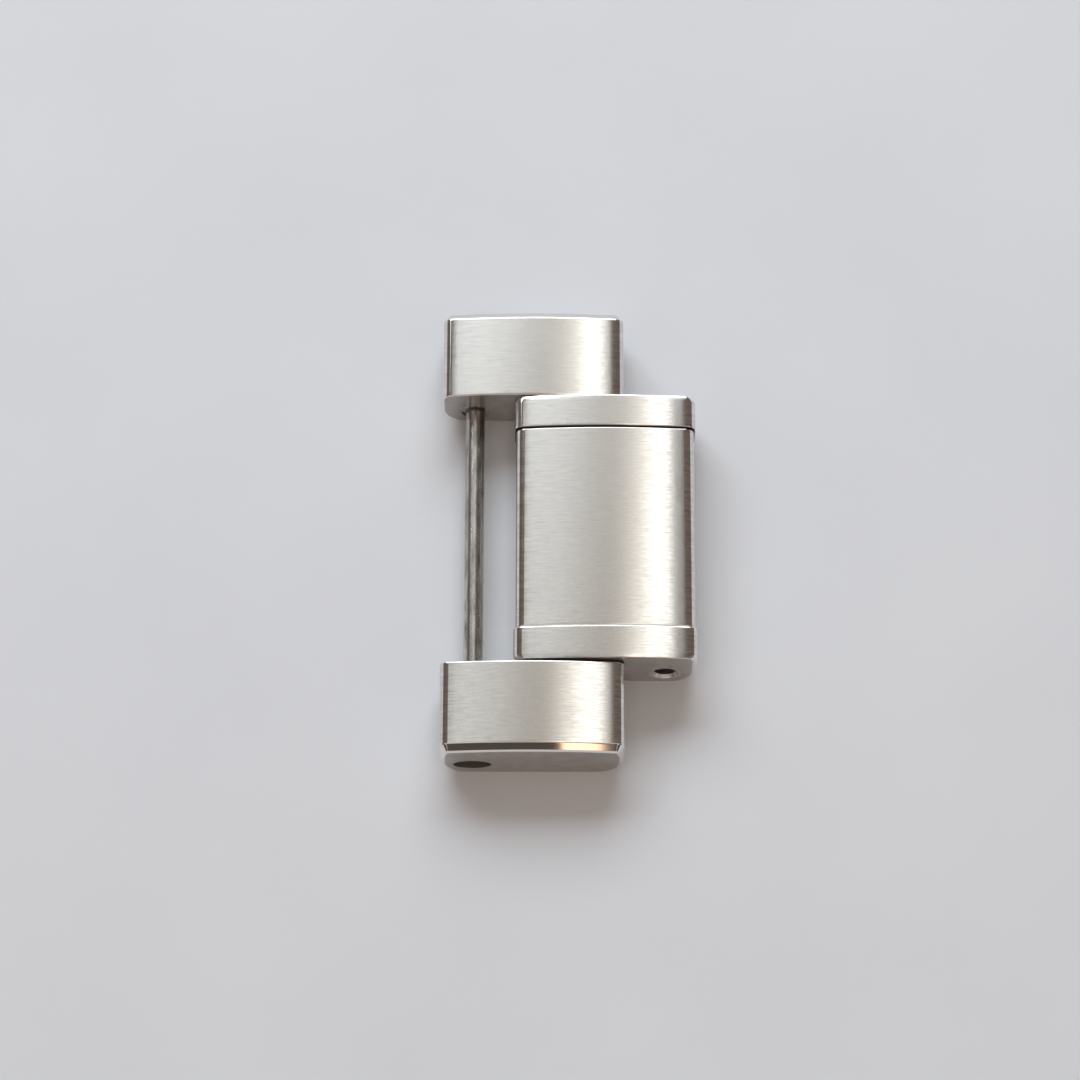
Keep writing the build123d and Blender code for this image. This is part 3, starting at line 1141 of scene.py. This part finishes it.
# %% [markdown]
# ## Light
# Polished and brushed steel are shaped by what they reflect, so the world is written as a function of
# direction. Overhead it is a sky of soft panels: light to the left, greyer in the middle, a bright band
# to the right whose left edge is slanted, and dark beyond it. On the crowned tops they become a light
# left half, a greyer middle and a bright band that ends in a dark zone. Low down stands a pale wall.
# The room is dark in front and at both sides of it, for the bevel and the ends, and one small warm lamp
# in front makes the glint on the bevel. The key light is wide and soft like a window. It stands behind
# the link and a little to the left, and its shadow falls softly towards the viewer.

# %% Sky over the link
SKY_TOP = 3.0
SKY_LEVELS = [
    (-90, (0.46, 0.42, 0.40)),
    (-82, (0.36, 0.32, 0.30)),
    (-72, (0.15, 0.12, 0.105)),
    (-18, (0.15, 0.12, 0.105)),
    (-14.5, (0.62, 0.61, 0.59)),
    (-8, (0.60, 0.59, 0.57)),
    (0, (0.36, 0.325, 0.285)),
    (4.8, (0.36, 0.315, 0.265)),
    (6.8, (0.95, 0.88, 0.78)),
    (8.6, (1.58, 1.53, 1.44)),
    (11.8, (1.62, 1.58, 1.50)),
    (12.6, (0.16, 0.13, 0.11)),
    (70, (0.15, 0.12, 0.105)),
    (82, (0.36, 0.32, 0.30)),
    (90, (0.46, 0.42, 0.40)),
]


def sky_panels(tree, angle):
    # Colour by the angle from straight overhead towards the right, in degrees
    left_end = SKY_LEVELS[0][0]
    right_end = SKY_LEVELS[-1][0]
    ramp = add_node(tree, "ShaderNodeValToRGB", {"Fac": mapped(tree, angle, 0.0, 1.0, left_end, right_end)})
    stops = ramp.color_ramp
    while len(stops.elements) > 1:
        stops.elements.remove(stops.elements[0])
    for position, (degrees, color) in enumerate(SKY_LEVELS):
        share = (degrees - left_end) / (right_end - left_end)
        element = stops.elements[0] if position == 0 else stops.elements.new(share)
        element.position = share
        element.color = (*[part / SKY_TOP for part in color], 1.0)
    return vector_step(tree, "SCALE", ramp.outputs["Color"], scale=SKY_TOP)


print("levels in the sky:", len(SKY_LEVELS))

# %% [markdown]
# ## The room as patches of direction
# Each patch of the room is given by its height above the floor and its bearing from the front, both in
# degrees, as a start, an end and the softness of its edges. The overhead part reaches from near the
# zenith backwards, and the slant turns the left edge of the bright band a little against the bracelet.

# %% World
ROOM = (0.65, 0.55, 0.485)
PALE_WALL = (0.66, 0.66, 0.68)
DARK_CORNER = (0.068, 0.058, 0.052)
WARM_LAMP = (2.2, 1.5, 1.0)
OVERHEAD_TILTS = (2.0, 52.0, 22.0)
PANEL_SLANT = 0.5
PANEL_SLANT_REACH = 8.0
PANEL_SLANT_TILTS = (14.0, 30.0)
PANEL_SLANT_FADE = (7.0, 12.0)
PALE_WALL_FADE = (12.0, 6.0)
DARK_FRONT_HEIGHTS = (27.0, 50.0, 5.0)
DARK_FRONT_BEARINGS = (-26.0, 26.0, 6.0)
DARK_SIDE_HEIGHTS = (6.0, 24.0, 4.0)
DARK_SIDE_BEARINGS = (32.0, 75.0, 8.0)
WARM_LAMP_HEIGHTS = (27.0, 40.0, 3.0)
WARM_LAMP_BEARINGS = (4.4, 9.2, 1.0)


def window(tree, value, low, high, softness):
    # 1 between low and high, fading to 0 over the softness on both sides
    rise = smooth_step(tree, value, low - softness, low)
    fall = smooth_step(tree, value, high, high + softness)
    return calculate(tree, "MULTIPLY", rise, calculate(tree, "SUBTRACT", 1.0, fall))


def in_degrees(tree, operation, first, second=0.0):
    # An angle from a step of arithmetic, in degrees
    return calculate(tree, "MULTIPLY", calculate(tree, operation, first, second), math.degrees(1))


world = bpy.data.worlds.new("studio")
bpy.context.scene.world = world
world.use_nodes = True
tree = world.node_tree
x, y, z = parts_of(tree, add_node(tree, "ShaderNodeTexCoord").outputs["Generated"])
to_right = in_degrees(tree, "ARCTAN2", x, z)
tilt_back = in_degrees(tree, "ARCSINE", y)
height = in_degrees(tree, "ARCSINE", z)
bearing_from_front = in_degrees(tree, "ARCTAN2", x, calculate(tree, "MULTIPLY", y, -1.0))
to_either_side = calculate(tree, "ABSOLUTE", bearing_from_front)

slant_by_tilt = mapped(tree, tilt_back, -PANEL_SLANT_REACH, PANEL_SLANT_REACH, *PANEL_SLANT_TILTS)
slant_share = mapped(tree, to_right, PANEL_SLANT, 0.0, *PANEL_SLANT_FADE)
slant = calculate(tree, "MULTIPLY", slant_by_tilt, slant_share)
panels = sky_panels(tree, calculate(tree, "SUBTRACT", to_right, slant))


def patch(heights, bearing_angle, bearings):
    # A soft-edged patch of the room
    in_height = window(tree, height, *heights)
    return calculate(tree, "MULTIPLY", in_height, window(tree, bearing_angle, *bearings))


dark_front = patch(DARK_FRONT_HEIGHTS, bearing_from_front, DARK_FRONT_BEARINGS)
dark_sides = patch(DARK_SIDE_HEIGHTS, to_either_side, DARK_SIDE_BEARINGS)
warm_lamp = patch(WARM_LAMP_HEIGHTS, bearing_from_front, WARM_LAMP_BEARINGS)
color = mix_colors(tree, window(tree, tilt_back, *OVERHEAD_TILTS), ROOM, panels)
color = mix_colors(tree, smooth_step(tree, height, *PALE_WALL_FADE), color, PALE_WALL)
color = mix_colors(tree, calculate(tree, "MAXIMUM", dark_front, dark_sides), color, DARK_CORNER)
color = mix_colors(tree, warm_lamp, color, WARM_LAMP)
tree.links.new(color, tree.nodes["Background"].inputs["Color"])
tree.nodes["Background"].inputs["Strength"].default_value = 1.0
print("nodes in the world:", len(tree.nodes))

# %% Key light
KEY_PLACE = (-0.06, 0.35, 0.295)
KEY_WIDTH = 0.50
KEY_HEIGHT = 0.24
KEY_POWER = 2.0
KEY_COLOR = (0.82, 0.915, 1.0)

key_data = bpy.data.lights.new("key", "AREA")
key_data.shape = "RECTANGLE"
key_data.size = KEY_WIDTH
key_data.size_y = KEY_HEIGHT
key_data.energy = KEY_POWER
key_data.color = KEY_COLOR
key = bpy.data.objects.new("key", key_data)
bpy.context.scene.collection.objects.link(key)
key.location = KEY_PLACE
key.rotation_euler = Vector(KEY_PLACE).to_track_quat("Z", "Y").to_euler()

# %% [markdown]
# ## The size
# The size of the dressed model is printed at the end. The dressed model may not outgrow the imported one.

# %% Print the size
low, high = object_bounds()
print("size in mm:", [round(v / MM, 3) for v in high - low])
